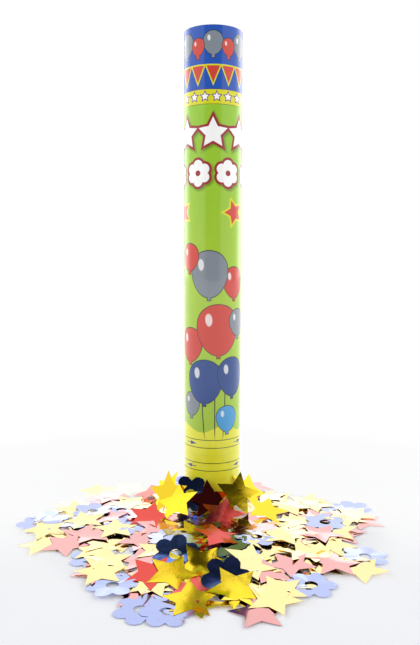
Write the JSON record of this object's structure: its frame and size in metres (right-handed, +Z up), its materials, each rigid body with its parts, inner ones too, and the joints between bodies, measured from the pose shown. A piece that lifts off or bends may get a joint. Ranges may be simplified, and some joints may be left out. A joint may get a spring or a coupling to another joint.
{
  "type": "confetti popper",
  "caption": "Upright twist-fired confetti popper: printed board tube on a twist base with an air can and ball lock inside, packed foil confetti, a board lid, and loose confetti at its foot.",
  "frame": {"origin": "centre of the flat foot on the tube's axis, on the surface that the popper stands on", "axes": "+Z up the tube to the muzzle, -Y the front with the heap of loose confetti, +X to the right seen from the front"},
  "size_m": [0.2922, 0.26, 0.4],
  "materials": {
    "white_plastic": "satin",
    "wound_board": "matte",
    "printed_film": "gloss",
    "fibre": "matte",
    "kraft_paper": "matte",
    "can_aluminium": "satin",
    "black_rubber": "matte",
    "grey_plastic": "satin",
    "spring_steel": "satin",
    "ball_steel": "polished",
    "lid_board": "matte",
    "felt": "matte",
    "gold_foil": "polished",
    "red_foil": "polished",
    "blue_foil": "polished",
    "packed_gold_foil": "gloss",
    "packed_red_foil": "gloss",
    "packed_blue_foil": "gloss"
  },
  "bodies": {
    "base": {"foot_cap": "white_plastic", "base_sleeve": "wound_board", "base_label": "printed_film", "slip_washer": "fibre", "pivot_sleeve": "kraft_paper", "gas_can": "can_aluminium", "fill_grommet": "black_rubber", "neck_gasket": "black_rubber", "valve_seat": "grey_plastic", "crimp_ring": "can_aluminium", "retaining_clip": "spring_steel", "loose_gold_stars": "gold_foil", "loose_red_stars": "red_foil", "loose_blue_flowers": "blue_foil"},
    "launcher": {"launch_tube": "wound_board", "tube_label": "printed_film", "cam_collar": "white_plastic"},
    "ball_1": {"lock_ball_1": "ball_steel"},
    "ball_2": {"lock_ball_2": "ball_steel"},
    "ball_3": {"lock_ball_3": "ball_steel"},
    "plug": {"release_plug": "grey_plastic", "plug_seal": "black_rubber"},
    "charge": {"pressure_wad": "lid_board", "wad_pad": "felt", "packed_gold_stars_1": "packed_gold_foil", "packed_red_stars_1": "packed_red_foil", "packed_blue_flowers_1": "packed_blue_foil", "packed_gold_stars_2": "packed_gold_foil", "packed_red_stars_2": "packed_red_foil", "packed_blue_flowers_2": "packed_blue_foil"},
    "lid": {"muzzle_lid": "lid_board"}
  },
  "joints": [
    {"name": "base_twist", "type": "hinge", "parent": "base", "child": "launcher", "pos_m": [0, 0, 0.0444], "axis": [0, 0, 1], "range_deg": [0, 60]},
    {"name": "ball_1_out", "type": "slide", "parent": "base", "child": "ball_1", "axis": [0, 1, 0], "range_m": [0, 0.0019]},
    {"name": "ball_2_out", "type": "slide", "parent": "base", "child": "ball_2", "axis": [-0.866, -0.5, 0], "range_m": [0, 0.0019]},
    {"name": "ball_3_out", "type": "slide", "parent": "base", "child": "ball_3", "axis": [0.866, -0.5, 0], "range_m": [0, 0.0019]},
    {"name": "plug_lift", "type": "slide", "parent": "base", "child": "plug", "axis": [0, 0, 1], "range_m": [0, 0.0019]},
    {"name": "charge_launch", "type": "slide", "parent": "launcher", "child": "charge", "axis": [0, 0, 1], "range_m": [0, 0.245]},
    {"name": "lid_off", "type": "slide", "parent": "launcher", "child": "lid", "axis": [0, 0, 1], "range_m": [0, 0.245]}
  ],
  "couplings": [
    {"joint": "ball_1_out", "follows": "base_twist", "m_per_rad": 0.0018144},
    {"joint": "ball_2_out", "follows": "base_twist", "m_per_rad": 0.0018144},
    {"joint": "ball_3_out", "follows": "base_twist", "m_per_rad": 0.0018144},
    {"joint": "plug_lift", "follows": "base_twist", "m_per_rad": 0.0018144},
    {"joint": "lid_off", "follows": "charge_launch", "ratio": 1}
  ]
}
